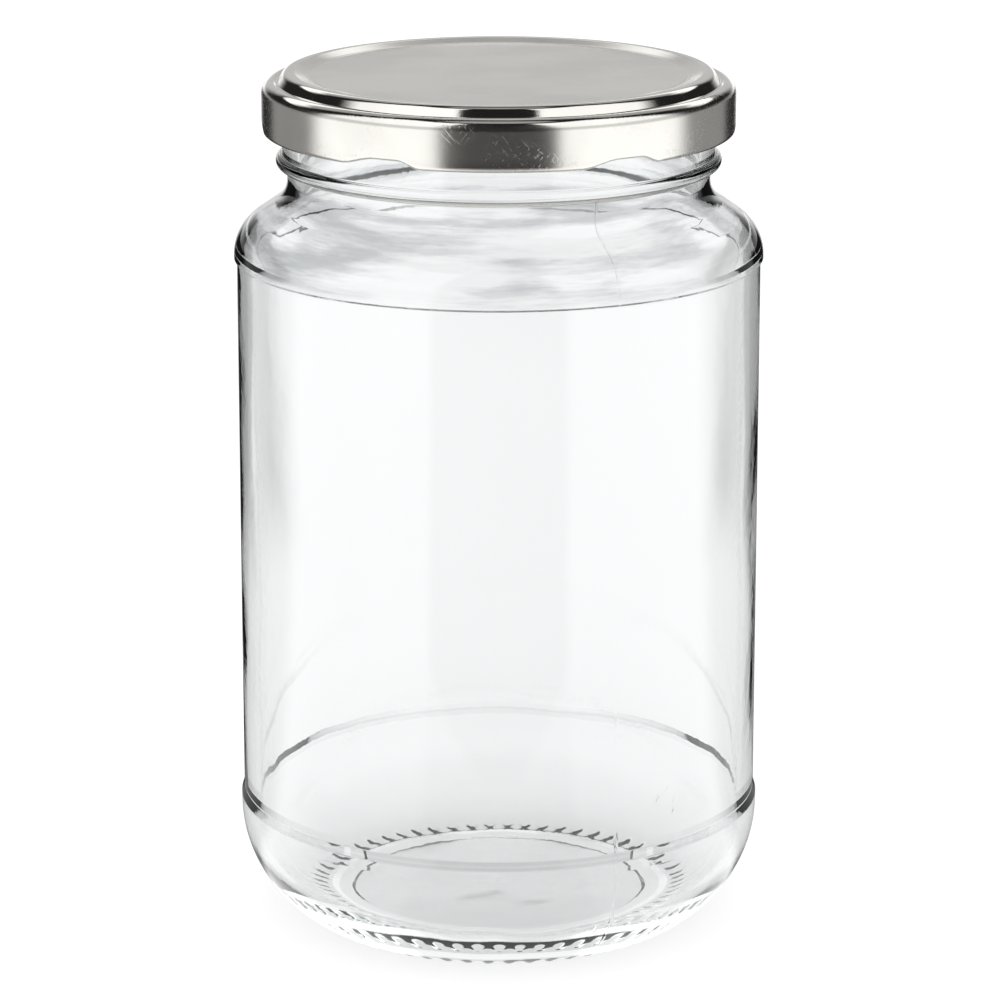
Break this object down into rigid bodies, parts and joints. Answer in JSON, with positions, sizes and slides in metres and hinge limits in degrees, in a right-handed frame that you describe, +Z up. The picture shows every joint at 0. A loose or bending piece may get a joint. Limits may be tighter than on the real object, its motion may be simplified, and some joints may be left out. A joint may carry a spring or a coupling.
{
  "type": "twist-off glass jar",
  "caption": "Round glass food jar with a recessed label panel, curved heel and shoulder, and a steel twist-off lid with lugs and a sealing ring.",
  "frame": {"origin": "centre of the base, on the surface that the jar stands on", "axes": "+Z up along the jar's axis, -Y towards the front, +X to the right"},
  "size_m": [0.0952, 0.0952, 0.1562],
  "materials": {
    "glass": "clear flint glass, fire polished",
    "tinplate": "satin lacquered tinplate",
    "compound": "soft sealing compound"
  },
  "bodies": {
    "root": {"jar": "glass", "lid": "tinplate", "seal": "compound"}
  },
  "joints": []
}
